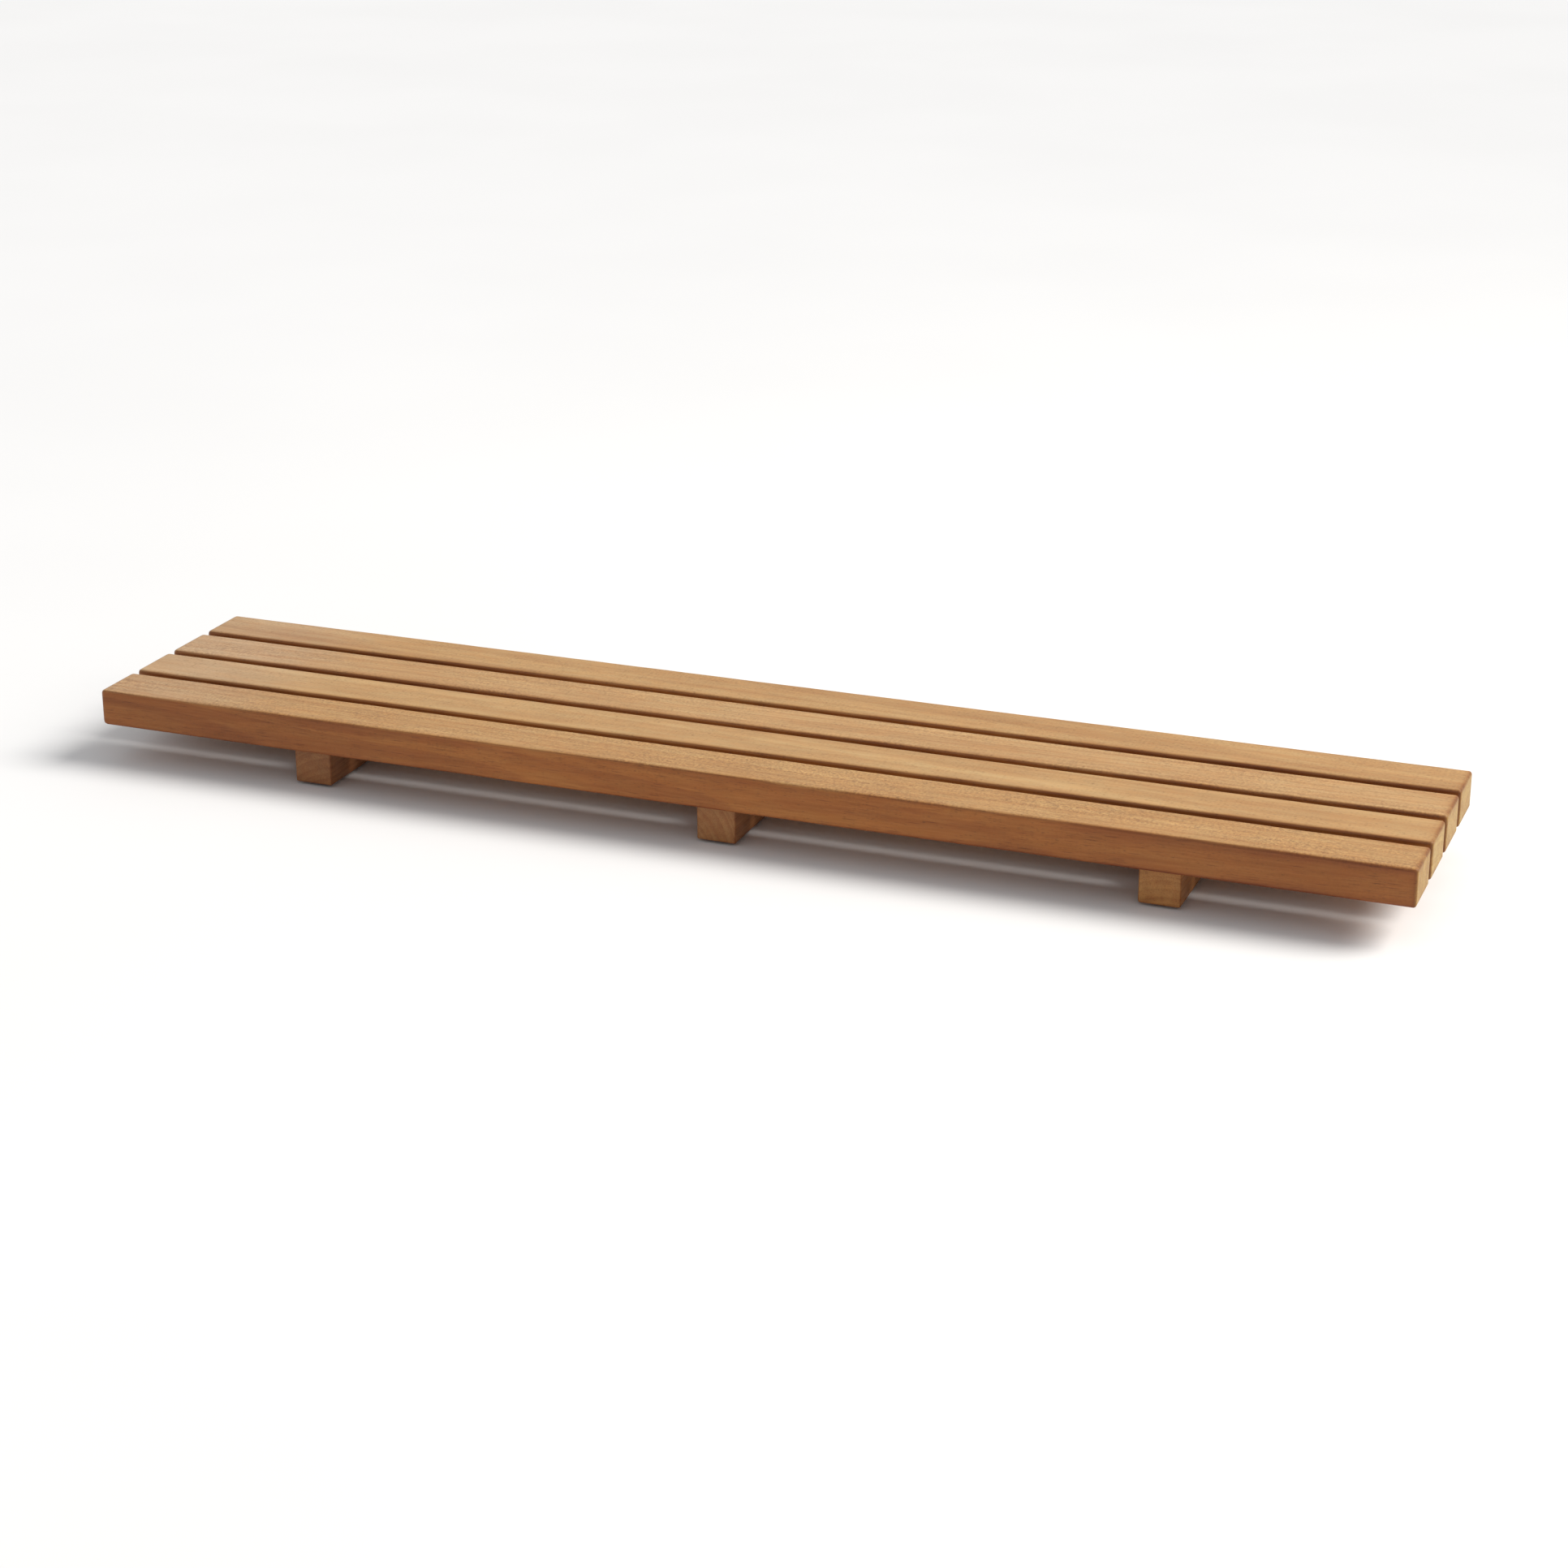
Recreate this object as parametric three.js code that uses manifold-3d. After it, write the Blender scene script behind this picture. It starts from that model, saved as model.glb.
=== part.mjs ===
// Slatted teak duckboard, the wooden kind of bath mat: long slats screwed from
// below to cross battens, which stand on rubber feet pressed into their undersides.
//
// Millimetres, +Z up. +X runs along the slats to the right end, +Y to the back.
// The origin is the centre of the footprint, on the floor.

import * as THREE from "three";
import { mergeVertices } from "three/addons/utils/BufferGeometryUtils.js";
import Module from "manifold-3d";

// ---- Slats ----
const slatNames = ["front", "front_middle", "back_middle", "back"];
const slatLength = 1000;
const slatWidth = 44;
const slatThickness = 28;
const slatGap = 8; // drainage slot between two slats
const slatArris = 2.5; // rounding of the long edges
const slatEndArris = 2; // rounding of the end edges

// ---- Battens ----
const battenNames = ["left", "middle", "right"];
const battenWidth = 30;
const battenHeight = 28;
const battenArris = 1.6;
const battenEndArris = 1.2;
const battenInset = 10; // from a batten's end to the outer face of the outer slat
const battenEndDistance = 175; // from a slat's end to the middle of the outer batten

// ---- Wood screws, one where each slat crosses a batten ----
const screwHeadRadius = 4.2;
const screwRimHeight = 0.5; // the short cylinder below the head's cone
const screwShankRadius = 1.7;
const screwCoreRadius = 1.5; // under the thread
const screwTipLength = 5;
const screwBite = 20; // how far the tip goes into the slat
const screwRecess = 3; // how far the head sits above the batten's underside
const driveOuterRadius = 1.95; // six-lobed drive recess
const driveInnerRadius = 1.4;
const driveDepth = 1.8;
const driveLobes = 6;

// ---- Rubber feet ----
const footRadius = 8;
const footHeight = 2; // how far a foot lifts the batten off the floor
const footEdge = 0.6; // bevel round the foot's sole
const footStemRadius = 3;
const footStemLength = 8;

// ---- Clearances ----
const fitGap = 0.3; // between a screw or a stem and the wood round it
const recessClearance = 0.6; // round a screw's head, for the driver to reach it
const shankClearance = 0.75; // a batten's hole is wide enough for the thread to slip through
const holeRunout = 1.5; // a blind hole goes this much further than what is in it
const cutterOverrun = 1; // a cutter starts and ends this far outside the faces that it opens

// ---- Smoothness of the round shapes ----
const arrisSteps = 3;
const screwSides = 12;
const footSides = 20;

// ---- Worked out from the values above ----
const slatPitch = slatWidth + slatGap;
const boardWidth = slatNames.length * slatPitch - slatGap;
const battenLength = boardWidth - 2 * battenInset;
const battenBottom = footHeight;
const slatBottom = battenBottom + battenHeight;
const headConeHeight = screwHeadRadius - screwShankRadius; // the cone stands at 45 degrees
const headHeight = screwRimHeight + headConeHeight;
const screwLength = battenHeight - screwRecess + screwBite;
const threadStart = battenHeight - screwRecess - fitGap; // the bare shank ends just short of the slat
const outerBattenX = slatLength / 2 - battenEndDistance;

const slatY = (i) => (i - (slatNames.length - 1) / 2) * slatPitch;
const battenX = (j) => outerBattenX * ((2 * j) / (battenNames.length - 1) - 1);
const footY = (slatY(0) + slatY(1)) / 2; // under the slot next to the outer slat, clear of the screws

// ---- Materials ----
const teak = (colour) => new THREE.MeshStandardMaterial({ color: colour, roughness: 0.62, metalness: 0 });
const stainlessSteel = new THREE.MeshStandardMaterial({ color: 0xc6c8ca, roughness: 0.3, metalness: 1 });
const blackRubber = new THREE.MeshStandardMaterial({ color: 0x2a2a2b, roughness: 0.8, metalness: 0 });
const slatColours = [0xc59a6c, 0xcda377, 0xc99f71, 0xc69b6a];
const battenColours = [0xb98f60, 0xb58a5c, 0xbd9565];

// ---- Solids ----
const wasm = await Module();
wasm.setup();

function solidOf(geometry) {
  const bare = geometry.clone();
  bare.deleteAttribute("normal");
  bare.deleteAttribute("uv");
  const merged = mergeVertices(bare, 1e-4);
  const vertProperties = merged.getAttribute("position").array;
  const triVerts = new Uint32Array(merged.index.array);
  return new wasm.Manifold(new wasm.Mesh({ numProp: 3, vertProperties, triVerts }));
}

function geometryOf(solid) {
  const mesh = solid.getMesh();
  return new THREE.BufferGeometry()
    .setAttribute("position", new THREE.BufferAttribute(mesh.vertProperties, 3))
    .setIndex(new THREE.BufferAttribute(mesh.triVerts, 1));
}

// A turned shape about the Z axis, from [radius, height] points that start and end on the axis.
function turned(profile, sides) {
  const points = profile.map(([radius, height]) => new THREE.Vector2(radius, height));
  return new THREE.LatheGeometry(points, sides).rotateX(Math.PI / 2);
}

// A bar along X, centred in X and Y and standing on Z = 0, with its long and end edges rounded.
function roundedBar({ length, width, height, arris, endArris }) {
  const side = width / 2;
  const section = new THREE.Shape()
    .absarc(side - arris, arris, arris, -Math.PI / 2, 0)
    .absarc(side - arris, height - arris, arris, 0, Math.PI / 2)
    .absarc(arris - side, height - arris, arris, Math.PI / 2, Math.PI)
    .absarc(arris - side, arris, arris, Math.PI, 1.5 * Math.PI);
  const depth = length - 2 * endArris;
  const acrossThenUp = new THREE.Matrix4().makeBasis(
    new THREE.Vector3(0, 1, 0),
    new THREE.Vector3(0, 0, 1),
    new THREE.Vector3(1, 0, 0),
  );
  return new THREE.ExtrudeGeometry(section, {
    depth,
    curveSegments: arrisSteps,
    bevelThickness: endArris,
    bevelSize: endArris,
    bevelOffset: -endArris,
    bevelSegments: arrisSteps,
  })
    .translate(0, 0, -depth / 2)
    .applyMatrix4(acrossThenUp);
}

// A bar with turned holes cut upwards from its underside, each at its own place along the bar.
function drilledBar(size, holes) {
  const blank = solidOf(roundedBar(size));
  const drill = (solid, { at, profile, sides }) =>
    solid.subtract(solidOf(turned(profile, sides).translate(at, 0, 0)));
  return geometryOf(holes.reduce(drill, blank));
}

// The profile of a plain round hole that starts below the face it opens.
function boreProfile(radius, top) {
  return [
    [0, -cutterOverrun],
    [radius, -cutterOverrun],
    [radius, top],
    [0, top],
  ];
}

function pilotHole(at) {
  const profile = boreProfile(screwCoreRadius + fitGap, screwBite + holeRunout);
  return { at, sides: screwSides, profile };
}

// Driver recess, countersink and clearance hole for one screw, right through a batten.
function screwHole(at) {
  const recess = screwHeadRadius + recessClearance;
  const shank = screwShankRadius + shankClearance;
  const top = battenHeight + cutterOverrun;
  const headTip = screwRecess + screwRimHeight + screwHeadRadius; // where the head's cone would end
  const seatTip = headTip + Math.SQRT2 * fitGap;
  const profile = [
    [0, -cutterOverrun],
    [recess, -cutterOverrun],
    [recess, seatTip - recess],
    [shank, seatTip - shank],
    [shank, top],
    [0, top],
  ];
  return { at, sides: screwSides, profile };
}

function stemHole(at) {
  const profile = boreProfile(footStemRadius + fitGap, footStemLength + holeRunout);
  return { at, sides: footSides, profile };
}

// The head is at the bottom, because the screws are driven upwards.
function screwGeometry() {
  const body = turned(
    [
      [0, 0],
      [screwHeadRadius, 0],
      [screwHeadRadius, screwRimHeight],
      [screwShankRadius, headHeight],
      [screwShankRadius, threadStart],
      [screwCoreRadius, threadStart],
      [screwCoreRadius, screwLength - screwTipLength],
      [0, screwLength],
    ],
    screwSides,
  );
  const lobes = Array.from({ length: 2 * driveLobes }, (_, k) => {
    const radius = k % 2 ? driveInnerRadius : driveOuterRadius;
    const turn = (k * Math.PI) / driveLobes;
    return new THREE.Vector2(radius * Math.cos(turn), radius * Math.sin(turn));
  });
  const drive = new THREE.ExtrudeGeometry(new THREE.Shape(lobes), {
    depth: driveDepth + cutterOverrun,
    bevelEnabled: false,
  }).translate(0, 0, -cutterOverrun);
  return geometryOf(solidOf(body).subtract(solidOf(drive)));
}

// A round button with a plain stem that is pushed into the batten.
function footGeometry() {
  return turned(
    [
      [0, 0],
      [footRadius - footEdge, 0],
      [footRadius, footEdge],
      [footRadius, footHeight],
      [footStemRadius, footHeight],
      [footStemRadius, footHeight + footStemLength],
      [0, footHeight + footStemLength],
    ],
    footSides,
  );
}

// ---- The duckboard ----
const duckboard = new THREE.Group();

function place(parent, name, geometry, material, x, y, z) {
  const mesh = new THREE.Mesh(geometry, material);
  mesh.name = name;
  mesh.position.set(x, y, z);
  parent.add(mesh);
  return mesh;
}

const slatGeometry = drilledBar(
  {
    length: slatLength,
    width: slatWidth,
    height: slatThickness,
    arris: slatArris,
    endArris: slatEndArris,
  },
  battenNames.map((_, j) => pilotHole(battenX(j))),
);
slatNames.forEach((slat, i) => {
  place(duckboard, `slat_${slat}`, slatGeometry, teak(slatColours[i]), 0, slatY(i), slatBottom);
});

// A batten is modelled along X and turned to run from front to back, so its own X is the board's Y.
const battenGeometry = drilledBar(
  {
    length: battenLength,
    width: battenWidth,
    height: battenHeight,
    arris: battenArris,
    endArris: battenEndArris,
  },
  [...slatNames.map((_, i) => screwHole(slatY(i))), stemHole(footY), stemHole(-footY)],
);
const screw = screwGeometry();
const foot = footGeometry();

battenNames.forEach((side, j) => {
  const crossing = new THREE.Group();
  crossing.position.x = battenX(j);
  duckboard.add(crossing);

  const wood = teak(battenColours[j]);
  const batten = place(crossing, `batten_${side}`, battenGeometry, wood, 0, 0, battenBottom);
  batten.rotation.z = Math.PI / 2;
  const headBottom = battenBottom + screwRecess;
  slatNames.forEach((slat, i) => {
    place(crossing, `screw_${side}_${slat}`, screw, stainlessSteel, 0, slatY(i), headBottom);
  });
  place(crossing, `foot_${side}_front`, foot, blackRubber, 0, footY, 0);
  place(crossing, `foot_${side}_back`, foot, blackRubber, 0, -footY, 0);
});

export default duckboard;
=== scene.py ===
import math
from contextlib import contextmanager
from typing import NamedTuple

import bmesh
import bpy
from bpy.props import FloatProperty, FloatVectorProperty, PointerProperty
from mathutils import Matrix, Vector


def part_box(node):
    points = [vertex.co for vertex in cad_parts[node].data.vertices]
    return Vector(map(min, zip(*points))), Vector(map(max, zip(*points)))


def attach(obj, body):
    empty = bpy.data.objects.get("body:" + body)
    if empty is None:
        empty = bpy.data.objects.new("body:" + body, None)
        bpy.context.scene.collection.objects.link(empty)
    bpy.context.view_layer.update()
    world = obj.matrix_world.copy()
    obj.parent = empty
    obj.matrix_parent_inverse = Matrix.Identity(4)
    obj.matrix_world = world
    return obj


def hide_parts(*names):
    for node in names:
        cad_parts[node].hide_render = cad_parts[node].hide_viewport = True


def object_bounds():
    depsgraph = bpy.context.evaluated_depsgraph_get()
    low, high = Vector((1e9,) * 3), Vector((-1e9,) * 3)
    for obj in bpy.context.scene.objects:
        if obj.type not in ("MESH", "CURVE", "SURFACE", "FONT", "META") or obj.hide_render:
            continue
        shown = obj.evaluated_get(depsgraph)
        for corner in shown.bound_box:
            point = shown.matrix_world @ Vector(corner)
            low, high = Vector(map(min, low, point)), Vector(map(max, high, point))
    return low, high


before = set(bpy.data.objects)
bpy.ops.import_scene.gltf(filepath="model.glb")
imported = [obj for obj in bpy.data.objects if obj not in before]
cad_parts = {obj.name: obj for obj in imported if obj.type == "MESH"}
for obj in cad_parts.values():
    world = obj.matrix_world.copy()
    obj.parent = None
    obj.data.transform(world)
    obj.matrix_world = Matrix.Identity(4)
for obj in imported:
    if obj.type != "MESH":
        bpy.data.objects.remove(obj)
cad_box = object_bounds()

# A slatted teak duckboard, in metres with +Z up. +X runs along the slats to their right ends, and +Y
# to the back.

bl_info = {
    "name": "Teak Duckboard",
    "version": (1, 0, 0),
    "blender": (4, 5, 0),
    "location": "3D View > Sidebar > Duckboard",
    "description": "Builds a slatted teak bath mat: slats, battens, screws, rubber feet and a studio",
    "category": "Add Mesh",
}

MM = 0.001
TOUCHING = 1e-6  # two heights closer than this are the same
BODY = "root"

SLATS = ("front", "front_middle", "back_middle", "back")
BATTENS = ("left", "middle", "right")
FEET = ("front", "back")

OVERRUN = 1 * MM  # how far a cutting shape goes past the face that it opens, or past what the hole holds
SCREW_RUNOUT = 0.5 * MM  # how much further a pilot hole goes than its screw
SEAT_GAP = 0.4 * MM  # how much higher the tip of a countersink is than the tip of its screw's cone
STEM_GAP = 0.3 * MM  # round a foot's stem


class Board(NamedTuple):
    """What makes one board's wood differ from the next one's."""

    log_place: tuple  # where it lay in its log, in metres from the pith: along, across and up
    lean: tuple  # how it was turned in the log, so that the grain runs out of its faces
    speckle: float  # how thickly its pores show: some boards are cut across them, and others along them
    tint: tuple  # what its colours are multiplied by


BOARDS = {
    "slat_front": Board((0.30, 0.078, 0.012), (0, 0.010, 0.022), 0.95, (0.97, 0.96, 0.92)),
    "slat_front_middle": Board((2.10, 0.022, 0.085), (0, -0.012, 0.008), 0.25, (1.03, 1.09, 1.12)),
    "slat_back_middle": Board((3.70, 0.070, -0.041), (0, 0.006, -0.015), 0.7, (1.03, 1.07, 1.12)),
    "slat_back": Board((5.40, -0.035, 0.092), (0, 0.014, 0.010), 0.35, (0.99, 1.01, 1.0)),
    "batten_left": Board((7.20, 0.030, 0.052), (0, 0.02, 0.01), 0.4, (0.86, 0.84, 0.80)),
    "batten_middle": Board((8.60, -0.048, 0.036), (0, -0.01, 0.02), 0.4, (1.02, 1.04, 0.97)),
    "batten_right": Board((9.90, 0.012, 0.060), (0, 0.01, -0.02), 0.4, (1.22, 1.27, 0.99)),
}


# ---- Sizes, colours and studio settings ----


def length(name, description, default):
    return FloatProperty(
        name=name, description=description, default=default, min=0.0, unit="LENGTH", precision=5
    )


def colour(name, description, default):
    return FloatVectorProperty(
        name=name, description=description, default=default, min=0.0, max=1.0, size=3, subtype="COLOR"
    )


class DuckboardSizes(bpy.types.PropertyGroup):
    """Sizes that the frame doesn't give"""

    slat_arris: length("Slat arris", "Rounding of a slat's edges", 2.4 * MM)
    left_arris: length("Left arris", "Rounding of the edges at a slat's left end", 4.0 * MM)
    batten_arris: length("Batten arris", "Rounding of a batten's edges", 1.5 * MM)
    sanding: length("Hand sanding", "How far sanding took the edges off the straight", 0.35 * MM)
    ring_spacing: length("Ring spacing", "Distance between the rings of edges along a board", 10 * MM)
    pilot_radius: length("Pilot hole", "Radius of a slat's pilot hole", 1.8 * MM)
    clearance_radius: length("Clearance hole", "Radius of a batten's screw hole", 2.45 * MM)
    recess_radius: length("Driver recess", "Radius of the hole that a screw's head sits in", 4.8 * MM)
    screw_rim: length("Screw rim", "Height of the cylinder under a screw's cone", 0.5 * MM)
    shank_radius: length("Shank", "Radius of a screw's plain shank", 1.7 * MM)
    core_radius: length("Thread core", "Radius of a screw under its thread", 1.35 * MM)
    thread_radius: length("Thread crest", "Radius of a screw over its thread", 2.1 * MM)
    thread_pitch: length("Thread pitch", "Rise of the thread in one turn", 1.9 * MM)
    bare_shank: length("Bare shank", "From the underside of a screw to its thread", 24.7 * MM)
    screw_tip: length("Screw tip", "Length of a screw's point", 5 * MM)
    drive_radius: length("Drive", "Outer radius of the six-lobed drive recess", 1.95 * MM)
    drive_depth: length("Drive depth", "Depth of the six-lobed drive recess", 1.8 * MM)
    stem_radius: length("Foot stem", "Radius of a rubber foot's stem", 3 * MM)
    foot_height: length("Foot height", "How far a foot lifts its batten off the floor", 2 * MM)


class DuckboardColours(bpy.types.PropertyGroup):
    """Colours of the wood, the screws, the feet and the floor"""

    # slat_top and slat_side are a lit and a shaded copy of the same teak: the sides are darker and more
    # saturated as painted shade, and bare_teak also gives the lit copy to the back half.
    slat_top: colour("Slat tops", "Teak on the worn upper faces", (0.520, 0.310, 0.132))
    slat_side: colour("Slat sides", "Teak on the faces that keep their oil", (0.360, 0.129, 0.027))
    slat_end: colour("Slat ends", "End grain of the slats", (0.425, 0.272, 0.080))
    batten_side: colour("Battens", "Teak of the battens", (0.395, 0.172, 0.066))
    # The batten ends are darker end grain, darkened further as painted shade from the slats' overhang.
    batten_end: colour("Batten ends", "Oiled end grain of the battens", (0.410, 0.195, 0.070))
    pore: colour("Pores", "The open pores", (0.120, 0.055, 0.024))
    edge: colour("Edges", "What the burnished edges are multiplied by", (0.50, 0.30, 0.15))
    steel: colour("Steel", "Stainless steel of the screws", (0.62, 0.61, 0.59))
    rubber: colour("Rubber", "Rubber of the feet", (0.022, 0.022, 0.023))
    floor: colour("Floor", "The studio floor", (0.83, 0.83, 0.83))


class DuckboardStudio(bpy.types.PropertyGroup):
    """The camera, the lights and the floor"""

    azimuth: FloatProperty(
        name="Azimuth",
        description="How far round to the right the camera stands",
        default=math.radians(21.24),
        subtype="ANGLE",
    )
    elevation: FloatProperty(
        name="Elevation",
        description="How high the camera looks down from",
        default=math.radians(20.61),
        subtype="ANGLE",
    )
    distance: length("Distance", "From the camera to the point it looks at", 2.253)
    aim_right: length("Aim right", "From the middle of the top to the point looked at, along X", 0.0566)
    aim_front: length("Aim front", "From the middle of the top to the point looked at, against Y", 0.1017)
    lens: FloatProperty(
        name="Lens", description="Focal length on a 36 mm sensor", default=74.1, unit="CAMERA"
    )
    key_power: FloatProperty(
        name="Key", description="Strength of the key light", default=2.7, min=0.0
    )
    key_softness: FloatProperty(
        name="Key softness",
        description="Apparent size of the key light",
        default=math.radians(30),
        subtype="ANGLE",
    )
    side_power: FloatProperty(
        name="Side",
        description="Strength of the soft box at the right end",
        default=14.0,
        min=0.0,
        unit="POWER",
    )
    fill_power: FloatProperty(
        name="Fill", description="Strength of the light all round", default=0.55, min=0.0
    )
    floor_radius: length("Floor radius", "Half the width of the floor", 30.0)


# ---- Modelling helpers ----


@contextmanager
def editing(piece):
    """Edit mode on one piece, and object mode again afterwards."""
    bpy.context.view_layer.objects.active = piece
    bpy.ops.object.mode_set(mode="EDIT")
    yield
    bpy.ops.object.mode_set(mode="OBJECT")


def pick(piece, kind, wanted):
    """Selects, in edit mode, only the wanted elements of one kind: "VERT", "EDGE" or "FACE"."""
    bpy.ops.mesh.select_mode(type=kind)
    bpy.ops.mesh.select_all(action="DESELECT")
    mesh = bmesh.from_edit_mesh(piece.data)
    for element in {"VERT": mesh.verts, "EDGE": mesh.edges, "FACE": mesh.faces}[kind]:
        if wanted(element):
            element.select_set(True)
    mesh.select_flush_mode()
    bmesh.update_edit_mesh(piece.data)


def pick_end_face(piece, sign):
    """Selects the flat face that is furthest up (sign 1) or down (sign -1)."""

    def height(face):
        return sign * face.calc_center_median().z

    furthest = max(height(face) for face in bmesh.from_edit_mesh(piece.data).faces)
    pick(piece, "FACE", lambda face: sign * face.normal.z > 0.99 and height(face) > furthest - TOUCHING)


def extrude_up(rise, scale=1.0):
    """Extrudes the selected faces along Z, then shrinks or widens what was extruded about the Z axis."""
    bpy.ops.mesh.extrude_region_move(TRANSFORM_OT_translate={"value": (0, 0, rise)})
    if scale != 1.0:
        bpy.ops.transform.resize(value=(scale, scale, 1), center_override=(0, 0, 0))


def extrude_to_point(rise):
    """Extrudes the selected face along Z, and draws what was extruded into a point."""
    extrude_up(rise)
    bpy.ops.mesh.merge(type="CENTER")


def named(piece, name):
    piece.name = name
    piece.data.name = name
    return piece


def add_cylinder(name, radius, low, high, sides):
    """An upright cylinder on the Z axis, to be shaped further."""
    bpy.ops.object.select_all(action="DESELECT")
    bpy.ops.mesh.primitive_cylinder_add(
        vertices=sides, radius=radius, depth=high - low, location=(0, 0, (low + high) / 2)
    )
    bpy.ops.object.transform_apply()
    return named(bpy.context.object, name)


def add_bar(name, low, high, arris, left_arris, arris_steps, spacing):
    """A bar with rounded edges, perhaps rounder at its left end, and with rings of edges along it."""
    size = high - low
    longest = max(size)
    bpy.ops.object.select_all(action="DESELECT")
    bpy.ops.mesh.primitive_cube_add(size=1, location=(low + high) / 2, scale=size)
    bpy.ops.object.transform_apply()
    bar = named(bpy.context.object, name)
    with editing(bar):
        bpy.ops.mesh.select_all(action="SELECT")
        bpy.ops.transform.edge_bevelweight(value=arris / left_arris)
        pick(bar, "EDGE", lambda edge: max(vertex.co.x for vertex in edge.verts) < low.x + arris)
        bpy.ops.transform.edge_bevelweight(value=1.0)
    modifier = bar.modifiers.new("rounding", "BEVEL")
    modifier.limit_method = "WEIGHT"
    modifier.width = left_arris
    modifier.segments = arris_steps
    apply_modifier(bar, modifier)
    with editing(bar):
        pick(bar, "EDGE", lambda edge: edge.calc_length() > 0.9 * longest)
        bpy.ops.mesh.subdivide(number_cuts=round(longest / spacing))
    return bar


def copied(piece, name, shift):
    """A copy with its own mesh, moved, with its place in its mesh."""
    bpy.ops.object.select_all(action="DESELECT")
    piece.select_set(True)
    bpy.context.view_layer.objects.active = piece
    bpy.ops.object.duplicate(linked=False)
    bpy.ops.transform.translate(value=shift)
    bpy.ops.object.transform_apply()
    return named(bpy.context.object, name)


def combine(piece, other, operation):
    """Cuts other from the piece, joins the two or keeps what they share, and uses other up."""
    modifier = piece.modifiers.new("combine", "BOOLEAN")
    modifier.object = other
    modifier.operation = operation
    modifier.solver = "EXACT"
    apply_modifier(piece, modifier)
    bpy.data.objects.remove(other)


def drill_hole(board, drill, axis):
    """Cuts the drill's shape out of the board, on an upright line through axis. Uses the drill up."""
    combine(board, copied(drill, "drill_copy", (axis.x, axis.y, 0)), "DIFFERENCE")
    bpy.data.objects.remove(drill)


def apply_modifier(piece, modifier):
    bpy.ops.object.select_all(action="DESELECT")
    piece.select_set(True)
    bpy.context.view_layer.objects.active = piece
    bpy.ops.object.modifier_apply(modifier=modifier.name)


def shade_smooth(piece, degrees):
    """Smooth shading that stops at corners sharper than the angle, and keeps flat faces flat."""
    bpy.ops.object.select_all(action="DESELECT")
    piece.select_set(True)
    bpy.context.view_layer.objects.active = piece
    bpy.ops.object.shade_smooth_by_angle(angle=math.radians(degrees))
    modifier = piece.modifiers.new("flat faces", "WEIGHTED_NORMAL")
    modifier.keep_sharp = True
    apply_modifier(piece, modifier)


def clean(piece):
    """Merges doubles and points the faces outwards."""
    with editing(piece):
        bpy.ops.mesh.select_all(action="SELECT")
        bpy.ops.mesh.remove_doubles(threshold=0.001 * MM)
        bpy.ops.mesh.normals_make_consistent(inside=False)


def remember_place(piece, origin):
    """Stores each vertex's place from the piece's own origin, for patterns that turn about its axis."""
    places = piece.data.attributes.new("place", "FLOAT_VECTOR", "POINT")
    for vertex, place in zip(piece.data.vertices, places.data):
        place.vector = vertex.co - origin


def finish_piece(piece, node, material):
    """Gives a finished piece its material, and puts it in the place of its node."""
    piece.data.materials.clear()
    piece.data.materials.append(material)
    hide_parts(node)
    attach(piece, BODY)


def centre_of(node):
    low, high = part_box(node)
    return (low + high) / 2


def foot_of(node):
    """The middle of a node's underside."""
    low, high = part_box(node)
    return Vector(((low.x + high.x) / 2, (low.y + high.y) / 2, low.z))


# ---- Shader node helpers ----


def add_node(tree, kind, inputs=(), **settings):
    """Adds a node. inputs maps a socket's name or number to the value or the socket that feeds it."""
    node = tree.nodes.new(kind)
    for key, value in settings.items():
        setattr(node, key, value)
    for key, value in dict(inputs).items():
        if isinstance(value, bpy.types.NodeSocket):
            tree.links.new(value, node.inputs[key])
        else:
            node.inputs[key].default_value = value
    return node


def calculate(tree, operation, *values):
    return add_node(tree, "ShaderNodeMath", enumerate(values), operation=operation).outputs[0]


def scaled(tree, value, factor):
    return calculate(tree, "MULTIPLY", value, factor)


def calculate_vector(tree, operation, *values):
    node = add_node(tree, "ShaderNodeVectorMath", enumerate(values), operation=operation)
    return node.outputs["Value" if operation == "LENGTH" else "Vector"]


def vector_of(tree, x, y, z):
    return add_node(tree, "ShaderNodeCombineXYZ", {0: x, 1: y, 2: z}).outputs[0]


def parts_of(tree, vector):
    return add_node(tree, "ShaderNodeSeparateXYZ", {0: vector}).outputs


def ramp(tree, value, start, end, low=0.0, high=1.0):
    """A smooth step from low, where value is start, to high, where it is end."""
    inputs = {0: value, 1: start, 2: end, 3: low, 4: high}
    return add_node(tree, "ShaderNodeMapRange", inputs, interpolation_type="SMOOTHSTEP").outputs[0]


def noise(tree, vector, scale, detail, roughness=0.5):
    """Noise with the same scale in every direction."""
    inputs = {"Vector": vector, "Scale": scale, "Detail": detail, "Roughness": roughness}
    return add_node(tree, "ShaderNodeTexNoise", inputs, noise_dimensions="3D")


def stretched_noise(tree, vector, waves, detail, roughness=0.5):
    """Noise with its own number of waves in a metre along each axis."""
    return noise(tree, calculate_vector(tree, "MULTIPLY", vector, waves), 1.0, detail, roughness)


def line_noise(tree, value, scale, detail):
    """Noise that changes with one value only."""
    inputs = {"W": value, "Scale": scale, "Detail": detail}
    return add_node(tree, "ShaderNodeTexNoise", inputs, noise_dimensions="1D").outputs[0]


def mix_colour(tree, factor, first, second, blend="MIX"):
    inputs = {0: factor, 6: first, 7: second}
    return add_node(tree, "ShaderNodeMix", inputs, data_type="RGBA", blend_type=blend).outputs[2]


def multiplied(tree, mask, base, multiplier):
    """Multiplies the base colour by the multiplier, as far as the mask says."""
    return mix_colour(tree, mask, base, (*multiplier, 1), "MULTIPLY")


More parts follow.
